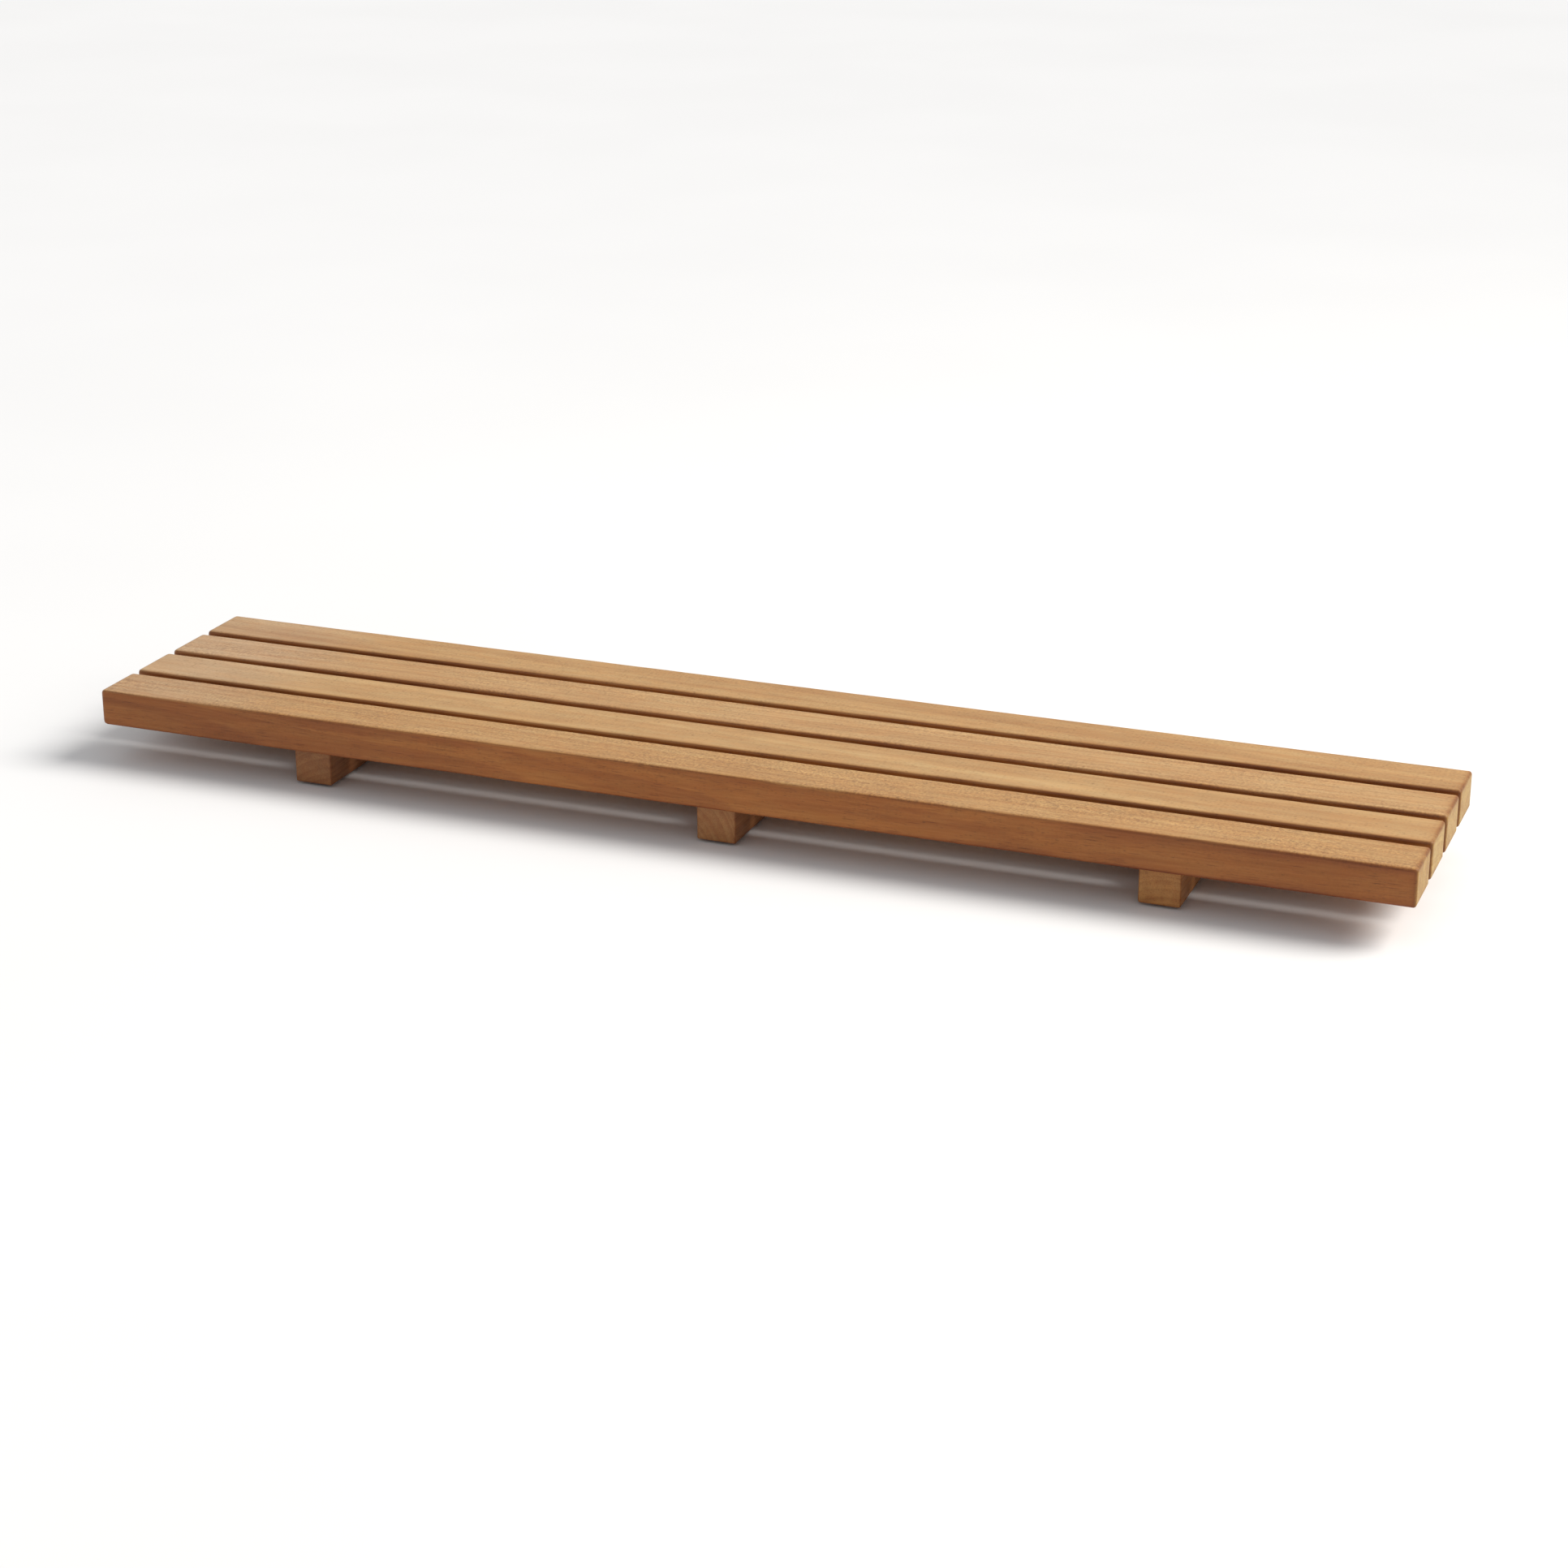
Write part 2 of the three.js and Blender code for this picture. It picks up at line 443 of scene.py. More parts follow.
def new_group(name, inputs, outputs):
    """An empty node group. inputs and outputs map a socket's name to "Float", "Vector" or "Color"."""
    tree = bpy.data.node_groups.new(name, "ShaderNodeTree")
    for direction, sockets in (("INPUT", inputs), ("OUTPUT", outputs)):
        for label, kind in sockets.items():
            tree.interface.new_socket(name=label, in_out=direction, socket_type=f"NodeSocket{kind}")
    source = tree.nodes.new("NodeGroupInput")
    target = tree.nodes.new("NodeGroupOutput")
    return tree, source.outputs, target.inputs


# ---- Node groups that the materials share ----


def grain_flow_group():
    """Bends log coordinates, so that the grain wanders as it runs along the log."""
    tree, given, result = new_group(
        "Grain Flow", {"Vector": "Vector", "Wander": "Float"}, {"Vector": "Vector"}
    )
    clouds = stretched_noise(tree, given["Vector"], (1.3, 9.0, 9.0), 2.0)
    drift = calculate_vector(tree, "SUBTRACT", clouds.outputs["Color"], (0.5, 0.5, 0.5))
    reach = vector_of(tree, 0.0, given["Wander"], given["Wander"])
    bend = calculate_vector(tree, "MULTIPLY", drift, reach)
    tree.links.new(calculate_vector(tree, "ADD", given["Vector"], bend), result["Vector"])
    return tree


def growth_rings_group():
    """Years of growth round the pith: the dark late wood that ends each one, and each year's own tone."""
    tree, given, result = new_group(
        "Growth Rings",
        {"Vector": "Vector", "Ring Width": "Float"},
        {"Late Wood": "Float", "Tone": "Float"},
    )
    across = calculate_vector(tree, "MULTIPLY", given["Vector"], (0.0, 1.0, 1.0))
    radius = calculate_vector(tree, "LENGTH", across)
    evenly = calculate(tree, "DIVIDE", radius, given["Ring Width"])
    uneven = scaled(tree, line_noise(tree, evenly, 0.37, 1.0), 2.4)
    years = calculate(tree, "ADD", evenly, uneven)
    season = calculate(tree, "FRACT", years)
    rise = ramp(tree, season, 0.35, 0.92)
    fall = ramp(tree, season, 0.93, 1.0, 1.0, 0.0)
    tree.links.new(scaled(tree, rise, fall), result["Late Wood"])
    tree.links.new(line_noise(tree, years, 0.55, 2.0), result["Tone"])
    return tree


def fibre_group():
    """Streaks along the grain: clouds of tone, broad streaks and fine ones."""
    tree, given, result = new_group(
        "Fibre Streaks", {"Vector": "Vector"}, {"Cloud": "Float", "Broad": "Float", "Fine": "Float"}
    )
    for label, along, across in (("Cloud", 16.0, 60.0), ("Broad", 4.0, 130.0), ("Fine", 26.0, 800.0)):
        streaks = stretched_noise(tree, given["Vector"], (along, across, across), 3.0, 0.58)
        tree.links.new(streaks.outputs[0], result[label])
    return tree


def pores_group():
    """Short dark flecks where the pores are cut open, thicker in some places than in others."""
    tree, given, result = new_group(
        "Pores",
        {"Vector": "Vector", "Length": "Float", "Width": "Float", "Density": "Float"},
        {"Pores": "Float"},
    )
    cell = vector_of(tree, given["Length"], given["Width"], given["Width"])
    in_cells = calculate_vector(tree, "DIVIDE", given["Vector"], cell)
    cells = add_node(tree, "ShaderNodeTexVoronoi", {"Vector": in_cells, "Scale": 1.0})
    fleck = ramp(tree, cells.outputs["Distance"], 0.18, 0.5, 1.0, 0.0)
    chance, depth, _ = add_node(tree, "ShaderNodeSeparateColor", {0: cells.outputs["Color"]}).outputs
    patches = stretched_noise(tree, given["Vector"], (14.0, 70.0, 70.0), 2.0).outputs[0]
    density = scaled(tree, given["Density"], ramp(tree, patches, 0.35, 0.62, 0.2, 1.5))
    shown = calculate(tree, "LESS_THAN", chance, density)
    tree.links.new(scaled(tree, scaled(tree, fleck, shown), depth), result["Pores"])
    return tree


def mottle_group():
    """Pale and dark spots in patches, where the grain comes up to the surface, and clouds of warmth."""
    tree, given, result = new_group(
        "Mottle", {"Vector": "Vector"}, {"Pale": "Float", "Dark": "Float", "Warmth": "Float"}
    )
    spots = stretched_noise(tree, given["Vector"], (520.0, 480.0, 480.0), 2.0, 0.65).outputs[0]
    patches = stretched_noise(tree, given["Vector"], (9.0, 40.0, 40.0), 2.0).outputs[0]
    patch = ramp(tree, patches, 0.35, 0.65, 0.25, 1.0)
    for label, start, end in (("Pale", 0.50, 0.68), ("Dark", 0.50, 0.32)):
        tree.links.new(scaled(tree, ramp(tree, spots, start, end), patch), result[label])
    clouds = stretched_noise(tree, given["Vector"], (45.0, 120.0, 120.0), 3.0, 0.6).outputs[0]
    tree.links.new(ramp(tree, clouds, 0.33, 0.67), result["Warmth"])
    return tree


def board_edges_group():
    """Where a point is on its board. Vector starts at the board's centre, with X along the board.

    Edge and Halo are a narrow and a wide band along the rounded edges, both wider towards the right
    end. Along is how far right of the centre the point is. The others say which part it is in.
    """
    tree, given, result = new_group(
        "Board Edges",
        {"Vector": "Vector", "Half Size": "Vector", "Arris": "Float"},
        dict.fromkeys(("Edge", "Halo", "End", "Along", "Left", "Back", "Top"), "Float"),
    )
    right, back, up = parts_of(tree, given["Vector"])
    from_middle = calculate_vector(tree, "ABSOLUTE", given["Vector"])
    inside = calculate_vector(tree, "SUBTRACT", given["Half Size"], from_middle)
    from_end, from_side, from_face = parts_of(tree, inside)

    # The middle one of the three depths is the distance to the nearest edge. The depth from the side
    # is stretched first, which makes the bands narrower on the top than on the side.
    stretched = scaled(tree, from_side, 1.7)
    nearer = calculate(tree, "MINIMUM", from_end, stretched)
    further = calculate(tree, "MAXIMUM", from_end, stretched)
    to_edge = calculate(tree, "MAXIMUM", nearer, calculate(tree, "MINIMUM", further, from_face))

    wider_to_the_right = ramp(tree, right, -0.2, 0.5, 0.85, 1.6)
    spread = scaled(tree, given["Arris"], wider_to_the_right)
    start = scaled(tree, given["Arris"], 0.3)
    for label, reach in (("Edge", 0.85), ("Halo", 2.0)):
        end = scaled(tree, spread, reach)
        tree.links.new(ramp(tree, to_edge, start, end, 1.0, 0.0), result[label])

    half_height = parts_of(tree, given["Half Size"])[2]
    below_top = calculate(tree, "SUBTRACT", half_height, up)
    tree.links.new(ramp(tree, below_top, 0.0, given["Arris"], 1.0, 0.0), result["Top"])
    tree.links.new(ramp(tree, from_end, 0.0, given["Arris"], 1.0, 0.0), result["End"])
    # Left marks the left half, whose end grain bare_teak darkens as painted shade.
    tree.links.new(ramp(tree, right, -0.02, 0.02, 1.0, 0.0), result["Left"])
    # Back marks the back half of the board, where bare_teak paints the lit copy of the teak.
    tree.links.new(ramp(tree, back, -0.01, 0.01), result["Back"])
    tree.links.new(right, result["Along"])
    return tree


def speckle_group():
    """Fine mottling at two scales, for moulded rubber, cast floors and dull metal."""
    tree, given, result = new_group(
        "Speckle", {"Vector": "Vector", "Size": "Float"}, {"Fine": "Float", "Coarse": "Float"}
    )
    speck = vector_of(tree, given["Size"], given["Size"], given["Size"])
    in_specks = calculate_vector(tree, "DIVIDE", given["Vector"], speck)
    tree.links.new(noise(tree, in_specks, 1.0, 3.0, 0.6).outputs[0], result["Fine"])
    tree.links.new(noise(tree, in_specks, 0.08, 2.0).outputs[0], result["Coarse"])
    return tree


GROUP_MAKERS = {
    "Grain Flow": grain_flow_group,
    "Growth Rings": growth_rings_group,
    "Fibre Streaks": fibre_group,
    "Pores": pores_group,
    "Mottle": mottle_group,
    "Board Edges": board_edges_group,
    "Speckle": speckle_group,
}


def effect(tree, name, inputs):
    """Places a shared node group, making it the first time, and returns the placed node's outputs."""
    group = bpy.data.node_groups.get(name) or GROUP_MAKERS[name]()
    return add_node(tree, "ShaderNodeGroup", inputs, node_tree=group).outputs


# ---- Materials ----

RING_WIDTH = 4.6 * MM
GRAIN_WANDER = 22 * MM

# What the teak's colour is multiplied by where each of these is at its strongest.
YEAR_TONE = (0.62, 0.42, 0.28)
LATE_WOOD = (0.60, 0.42, 0.30)
TONE_CLOUD = (0.74, 0.58, 0.46)
BROAD_STREAK = (0.68, 0.52, 0.40)
FINE_STREAK = (0.60, 0.45, 0.36)
LONG_PORE = (0.45, 0.35, 0.30)
DARK_SPOT = (0.5, 0.48, 0.52)
PALE_SPOT = (1.35, 1.5, 1.5)
COOL_WOOD = (0.983, 1.006, 1.025)
WARM_WOOD = (1.022, 0.984, 0.950)
# LEFT_TOP_SHEEN is a painted sheen on the tops at the left end.
LEFT_TOP_SHEEN = (0.98, 1.06, 1.36)
# LIGHTER_MIDDLE_SIDES makes the slats' sides lighter in the middle of their length.
LIGHTER_MIDDLE_SIDES = (1.20, 1.26, 1.24)
EDGE_HALO = (0.80, 0.66, 0.52)


class Wood(NamedTuple):
    """The patterns in one board's wood: a node's outputs, or a single one of them."""

    where: object  # outputs of Board Edges
    rings: object  # outputs of Growth Rings
    fibre: object  # outputs of Fibre Streaks
    mottle: object  # outputs of Mottle
    speckle: object  # how strongly spots and pores show on this face
    pores: object  # short flecks
    lines: object  # long, thin pores that are cut along


def new_material(name):
    material = bpy.data.materials.new(name)
    material.use_nodes = True
    tree = material.node_tree
    return material, tree, tree.nodes["Principled BSDF"]


def by_face(tree, where, on_side, on_top):
    """One value on a board's sides, and another on its top."""
    return ramp(tree, where["Top"], 0.0, 1.0, on_side, on_top)


def wood_of(tree, board, low, high, along_y, arris):
    """Places a board in its log, and makes the patterns of its wood."""
    half = (high - low) / 2
    turn = 0.0
    if along_y:
        half = Vector((half.y, half.x, half.z))
        turn = math.pi / 2
    on_board = add_node(
        tree,
        "ShaderNodeMapping",
        {
            "Vector": add_node(tree, "ShaderNodeTexCoord").outputs["Object"],
            "Location": (low + high) / 2,
            "Rotation": (0, 0, turn),
        },
        vector_type="TEXTURE",
    ).outputs[0]
    leaning = add_node(tree, "ShaderNodeMapping", {"Vector": on_board, "Rotation": board.lean}).outputs[0]
    in_log = calculate_vector(tree, "ADD", leaning, board.log_place)
    grain = effect(tree, "Grain Flow", {"Vector": in_log, "Wander": GRAIN_WANDER})["Vector"]

    def pores(long, wide, density):
        inputs = {"Vector": grain, "Length": long, "Width": wide, "Density": density}
        return effect(tree, "Pores", inputs)["Pores"]

    where = effect(tree, "Board Edges", {"Vector": on_board, "Half Size": half, "Arris": arris})
    speckle = scaled(tree, by_face(tree, where, 0.2, 1.0), board.speckle)
    return Wood(
        where=where,
        rings=effect(tree, "Growth Rings", {"Vector": grain, "Ring Width": RING_WIDTH}),
        fibre=effect(tree, "Fibre Streaks", {"Vector": grain}),
        mottle=effect(tree, "Mottle", {"Vector": grain}),
        speckle=speckle,
        pores=pores(3.4 * MM, 0.5 * MM, calculate(tree, "ADD", scaled(tree, speckle, 0.5), 0.25)),
        lines=pores(16 * MM, 0.9 * MM, 0.45),
    )


def bare_teak(tree, where, tint, along_y):
    """The colour of each face: a lit copy of the teak on top and in the back half, a darker, more
    saturated copy on the sides as painted shade, and end grain on the ends, pulled towards the shaded
    copy at the left end as painted shade.
    """
    colours = bpy.context.scene.duckboard_colours
    faces = (colours.slat_top, colours.slat_side, colours.slat_end)
    if along_y:
        faces = (colours.batten_side, colours.batten_side, colours.batten_end)
    top, side, end = (
        (*(channel * share for channel, share in zip(face, tint)), 1) for face in faces
    )
    # Painted light: the top and the back half get the lit copy, and the other faces get the darker,
    # shaded copy.
    lit_copy_mask = calculate(tree, "MAXIMUM", where["Top"], scaled(tree, where["Back"], 0.6))
    # Painted shade: the left ends, which face away from the key light, have their end grain pulled
    # towards the shaded side colour.
    end_grain_left_shaded = mix_colour(tree, scaled(tree, where["Left"], 0.45), end, side)
    return mix_colour(tree, where["End"], mix_colour(tree, lit_copy_mask, side, top), end_grain_left_shaded)


def with_figure(tree, base, wood):
    """Darkens the base colour by the rings, the streaks, the long pores and the dark spots."""
    where, rings, fibre = wood.where, wood.rings, wood.fibre
    cloud = ramp(tree, fibre["Cloud"], 0.36, 0.66)
    broad = ramp(tree, fibre["Broad"], 0.38, 0.68)
    fine = ramp(tree, fibre["Fine"], 0.35, 0.65)
    spots = scaled(tree, wood.mottle["Dark"], wood.speckle)
    for mask, multiplier in (
        (ramp(tree, rings["Tone"], 0.3, 0.7, 0.0, 0.22), YEAR_TONE),
        (scaled(tree, rings["Late Wood"], by_face(tree, where, 0.3, 0.2)), LATE_WOOD),
        (scaled(tree, cloud, 0.26), TONE_CLOUD),
        (scaled(tree, broad, by_face(tree, where, 0.40, 0.24)), BROAD_STREAK),
        (scaled(tree, fine, by_face(tree, where, 0.20, 0.08)), FINE_STREAK),
        (scaled(tree, wood.lines, by_face(tree, where, 0.62, 0.25)), LONG_PORE),
        (scaled(tree, spots, 0.62), DARK_SPOT),
    ):
        base = multiplied(tree, mask, base, multiplier)
    return base


def with_warmth_sheen_and_lighter_sides(tree, base, wood, along_y):
    """Clouds of warmth, and on slats a greyer, paler top at the left end, which is painted sheen, and
    lighter sides in the middle.
    """
    warmth = mix_colour(tree, wood.mottle["Warmth"], (*COOL_WOOD, 1), (*WARM_WOOD, 1))
    base = mix_colour(tree, 1.0, base, warmth, "MULTIPLY")
    if along_y:
        return base
    along = wood.where["Along"]
    # Painted sheen: the top turns greyer and paler towards the left end.
    left_sheen = scaled(tree, ramp(tree, along, -0.45, -0.32, 1.0, 0.0), wood.where["Top"])
    base = multiplied(tree, left_sheen, base, LEFT_TOP_SHEEN)
    # The sides are lighter in the middle of the board's length.
    middle = ramp(tree, calculate(tree, "ABSOLUTE", along), 0.14, 0.34, 1.0, 0.0)
    on_sides = by_face(tree, wood.where, 1.0, 0.0)
    return multiplied(tree, scaled(tree, middle, on_sides), base, LIGHTER_MIDDLE_SIDES)


def with_wear(tree, base, wood):
    """Adds what comes up with use: pale spots, open pores and darker, burnished edges."""
    colours = bpy.context.scene.duckboard_colours
    pale = scaled(tree, scaled(tree, wood.mottle["Pale"], wood.speckle), 0.6)
    base = multiplied(tree, pale, base, PALE_SPOT)
    base = mix_colour(tree, scaled(tree, wood.pores, 0.6), base, (*colours.pore, 1))
    uneven = ramp(tree, wood.fibre["Cloud"], 0.3, 0.6, 0.55, 1.0)
    for band, strength, multiplier in (("Halo", 0.55, EDGE_HALO), ("Edge", 0.9, colours.edge)):
        mask = scaled(tree, scaled(tree, wood.where[band], uneven), strength)
        base = multiplied(tree, mask, base, multiplier)
    return base


def teak_material(name, node, low, high, along_y, arris):
    """Oiled teak for one board, cut from its own place in the log."""
    board = BOARDS[node]
    material, tree, surface = new_material(name)
    wood = wood_of(tree, board, low, high, along_y, arris)
    base = bare_teak(tree, wood.where, board.tint, along_y)
    base = with_figure(tree, base, wood)
    base = with_warmth_sheen_and_lighter_sides(tree, base, wood, along_y)
    base = with_wear(tree, base, wood)
    tree.links.new(base, surface.inputs["Base Color"])

    fine = wood.fibre["Fine"]
    sheen = ramp(tree, fine, 0.3, 0.7, 0.46, 0.58)
    tree.links.new(
        calculate(tree, "ADD", sheen, scaled(tree, wood.pores, 0.2)), surface.inputs["Roughness"]
    )
    surface.inputs["Specular IOR Level"].default_value = 0.35

    relief = calculate(tree, "SUBTRACT", scaled(tree, fine, 0.5), wood.pores)
    relief = calculate(tree, "SUBTRACT", relief, scaled(tree, wood.rings["Late Wood"], 0.15))
    bump = add_node(tree, "ShaderNodeBump", {"Height": relief, "Distance": 0.12 * MM, "Strength": 0.8})
    tree.links.new(bump.outputs[0], surface.inputs["Normal"])
    return material


def steel_material(name):
    """Cold-formed stainless steel, with marks that run round the screw."""
    material, tree, surface = new_material(name)
    place = add_node(tree, "ShaderNodeAttribute", attribute_name="place").outputs["Vector"]
    across = calculate_vector(tree, "MULTIPLY", place, (1.0, 1.0, 0.0))
    radius = calculate_vector(tree, "LENGTH", across)
    height = parts_of(tree, place)[2]
    marks = noise(tree, vector_of(tree, radius, height, 0.0), 9000.0, 2.0).outputs[0]
    mottle = effect(tree, "Speckle", {"Vector": place, "Size": 0.3 * MM})
    steel = (*bpy.context.scene.duckboard_colours.steel, 1)
    dull = ramp(tree, mottle["Coarse"], 0.4, 0.65, 0.0, 0.2)
    tree.links.new(multiplied(tree, dull, steel, (0.6, 0.58, 0.55)), surface.inputs["Base Color"])
    surface.inputs["Metallic"].default_value = 1.0
    tree.links.new(ramp(tree, mottle["Fine"], 0.3, 0.7, 0.24, 0.4), surface.inputs["Roughness"])
    bump = add_node(tree, "ShaderNodeBump", {"Height": marks, "Distance": 0.004 * MM, "Strength": 0.4})
    tree.links.new(bump.outputs[0], surface.inputs["Normal"])
    return material


def rubber_material(name):
    """Moulded rubber with a fine matt texture and a little dust in its hollows."""
    material, tree, surface = new_material(name)
    place = add_node(tree, "ShaderNodeAttribute", attribute_name="place").outputs["Vector"]
    mottle = effect(tree, "Speckle", {"Vector": place, "Size": 0.35 * MM})
    rubber = (*bpy.context.scene.duckboard_colours.rubber, 1)
    dust = (0.11, 0.10, 0.09, 1)
    dusty = ramp(tree, mottle["Coarse"], 0.45, 0.7, 0.0, 0.2)
    tree.links.new(mix_colour(tree, dusty, rubber, dust), surface.inputs["Base Color"])
    tree.links.new(ramp(tree, mottle["Fine"], 0.3, 0.7, 0.62, 0.85), surface.inputs["Roughness"])
    bump = add_node(
        tree, "ShaderNodeBump", {"Height": mottle["Fine"], "Distance": 0.06 * MM, "Strength": 0.7}
    )
    tree.links.new(bump.outputs[0], surface.inputs["Normal"])
    return material


def floor_material(name):
    """A pale, even studio floor."""
    material, tree, surface = new_material(name)
    place = add_node(tree, "ShaderNodeTexCoord").outputs["Object"]
    mottle = effect(tree, "Speckle", {"Vector": place, "Size": 0.04})
    pale = (*bpy.context.scene.duckboard_colours.floor, 1)
    clouds = ramp(tree, mottle["Coarse"], 0.3, 0.7, 0.0, 0.06)
    tree.links.new(multiplied(tree, clouds, pale, (0.7, 0.7, 0.7)), surface.inputs["Base Color"])
    surface.inputs["Roughness"].default_value = 0.9
    surface.inputs["Specular IOR Level"].default_value = 0.1
    return material


# ---- Boards ----


def sand_by_hand(board, low, high, arris, amount):
    """Takes the edges a little off the straight, as sanding by hand does."""
    rounded = board.vertex_groups.new(name="arris")
    for vertex in board.data.vertices:
        depths = (min(vertex.co[axis] - low[axis], high[axis] - vertex.co[axis]) for axis in range(3))
        if min(depths) > 0.02 * arris:
            rounded.add([vertex.index], 1.0, "REPLACE")
    cloud = bpy.data.textures.new("hand_sanding", "CLOUDS")
    cloud.noise_scale = 0.035
    cloud.noise_depth = 2
    modifier = board.modifiers.new("sanding", "DISPLACE")
    modifier.texture = cloud
    modifier.texture_coords = "LOCAL"
    modifier.vertex_group = rounded.name
    modifier.strength = amount
    modifier.mid_level = 0.75
    apply_modifier(board, modifier)
    board.vertex_groups.clear()
    bpy.data.textures.remove(cloud)


def add_pilot_drill(radius, low, high):
    """A twist drill's shape, pointed at the top, on the Z axis."""
    drill = add_cylinder("pilot_drill", radius, low, high, 24)
    with editing(drill):
        pick_end_face(drill, 1)
        extrude_to_point(0.6 * radius)
    return drill


def add_screw_hole_drill(sizes, low, seat_tip, top):
    """Driver recess, countersink and clearance hole in one stepped shape on the Z axis."""
    wide, narrow = sizes.recess_radius, sizes.clearance_radius
    drill = add_cylinder("countersink", wide, low, seat_tip - wide, 40)
    with editing(drill):
        pick_end_face(drill, 1)
        extrude_up(wide - narrow, narrow / wide)
        extrude_up(top - (seat_tip - narrow))
    return drill


class DUCKBOARD_OT_slats(bpy.types.Operator):
    """Slats: long boards with sanded edges and blind pilot holes in their undersides"""

    bl_idname = "duckboard.slats"
    bl_label = "Slats"

    def execute(self, context):
        sizes = context.scene.duckboard_sizes
        low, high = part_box(f"slat_{SLATS[0]}")
        arris, left_arris = sizes.slat_arris, sizes.left_arris
        pattern = add_bar("slat_pattern", low, high, arris, left_arris, 6, sizes.ring_spacing)
        for side in BATTENS:
            screw = f"screw_{side}_{SLATS[0]}"
            screw_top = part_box(screw)[1].z
            drill = add_pilot_drill(sizes.pilot_radius, low.z - OVERRUN, screw_top + SCREW_RUNOUT)
            drill_hole(pattern, drill, foot_of(screw))
        for name in SLATS:
            node = f"slat_{name}"
            low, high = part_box(node)
            slat = copied(pattern, f"teak_{node}", centre_of(node) - centre_of(f"slat_{SLATS[0]}"))
            sand_by_hand(slat, low, high, arris, sizes.sanding)
            shade_smooth(slat, 40)
            material = teak_material(f"oiled_teak_{node}", node, low, high, False, arris)
            finish_piece(slat, node, material)
        bpy.data.objects.remove(pattern)
        return {"FINISHED"}


class DUCKBOARD_OT_battens(bpy.types.Operator):
    """Battens: cross boards with countersunk screw holes and holes for the feet"""

    bl_idname = "duckboard.battens"
    bl_label = "Battens"

    def execute(self, context):
        sizes = context.scene.duckboard_sizes
        side = BATTENS[0]
        low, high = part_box(f"batten_{side}")
        arris = sizes.batten_arris
        pattern = add_bar("batten_pattern", low, high, arris, arris, 4, sizes.ring_spacing)
        for slat in SLATS:
            screw_low, screw_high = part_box(f"screw_{side}_{slat}")
            head_radius = (screw_high.x - screw_low.x) / 2
            seat_tip = screw_low.z + sizes.screw_rim + head_radius + SEAT_GAP
            drill = add_screw_hole_drill(sizes, low.z - OVERRUN, seat_tip, high.z + OVERRUN)
            drill_hole(pattern, drill, foot_of(f"screw_{side}_{slat}"))
        for end in FEET:
            foot = f"foot_{side}_{end}"
            stem_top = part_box(foot)[1].z
            drill = add_pilot_drill(sizes.stem_radius + STEM_GAP, low.z - OVERRUN, stem_top + OVERRUN)
            drill_hole(pattern, drill, foot_of(foot))
        for name in BATTENS:
            node = f"batten_{name}"
            low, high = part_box(node)
            batten = copied(pattern, f"teak_{node}", centre_of(node) - centre_of(f"batten_{side}"))
            sand_by_hand(batten, low, high, arris, sizes.sanding)
            shade_smooth(batten, 40)
            material = teak_material(f"oiled_teak_{node}", node, low, high, True, arris)
            finish_piece(batten, node, material)
        bpy.data.objects.remove(pattern)
        return {"FINISHED"}


# ---- Screws ----


def add_drive_punch(sizes):
    """The six-lobed shape that is pressed into a screw's head."""
    lobes = 6
    waist = 0.74  # how far in the hollows between the lobes come, as a share of the outer radius
    punch = add_cylinder("drive_punch", sizes.drive_radius, -OVERRUN, sizes.drive_depth, 2 * lobes)

    def in_hollow(vertex):
        angle = math.atan2(vertex.co.y, vertex.co.x)
        return round(angle * lobes / math.pi) % 2 == 1

    with editing(punch):
        pick(punch, "VERT", in_hollow)
        bpy.ops.transform.resize(value=(waist, waist, 1), center_override=(0, 0, 0))
        pick(punch, "EDGE", lambda edge: abs(edge.verts[0].co.z - edge.verts[1].co.z) > 0.5 * MM)
        bpy.ops.mesh.bevel(offset=0.3 * MM, segments=3, profile=0.5, affect="EDGES")
    return punch


def add_thread(sizes, start, end):
    """A closed, sharp ridge that winds up the Z axis."""
    depth = sizes.thread_radius - 0.9 * sizes.core_radius
    reach = depth / 1.5  # a triangle is 1.5 times as deep as the radius of the circle round it
    bpy.ops.object.select_all(action="DESELECT")
    bpy.ops.mesh.primitive_circle_add(
        vertices=3,
        radius=reach,
        fill_type="NOTHING",
        location=(sizes.thread_radius - reach, 0, start),
        rotation=(math.pi / 2, math.pi / 2, 0),
        scale=(0.75, 1, 1),
    )
    bpy.ops.object.transform_apply()
    thread = named(bpy.context.object, "thread")
    modifier = thread.modifiers.new("winding", "SCREW")
    modifier.axis = "Z"
    modifier.angle = 2 * math.pi
    modifier.screw_offset = sizes.thread_pitch
    modifier.iterations = math.ceil((end - start) / sizes.thread_pitch)
    modifier.steps = modifier.render_steps = 24
    modifier.use_smooth_shade = False
    apply_modifier(thread, modifier)
    with editing(thread):
        bpy.ops.mesh.select_all(action="SELECT")
        bpy.ops.mesh.fill_holes(sides=3)
    clean(thread)
    return thread


def add_envelope(radius, low, high, tip):
    """What the thread is trimmed to: a cylinder with a long point at the top."""
    envelope = add_cylinder("envelope", radius, low, high - tip, 32)
    with editing(envelope):
        pick_end_face(envelope, 1)
        extrude_to_point(tip)
    return envelope


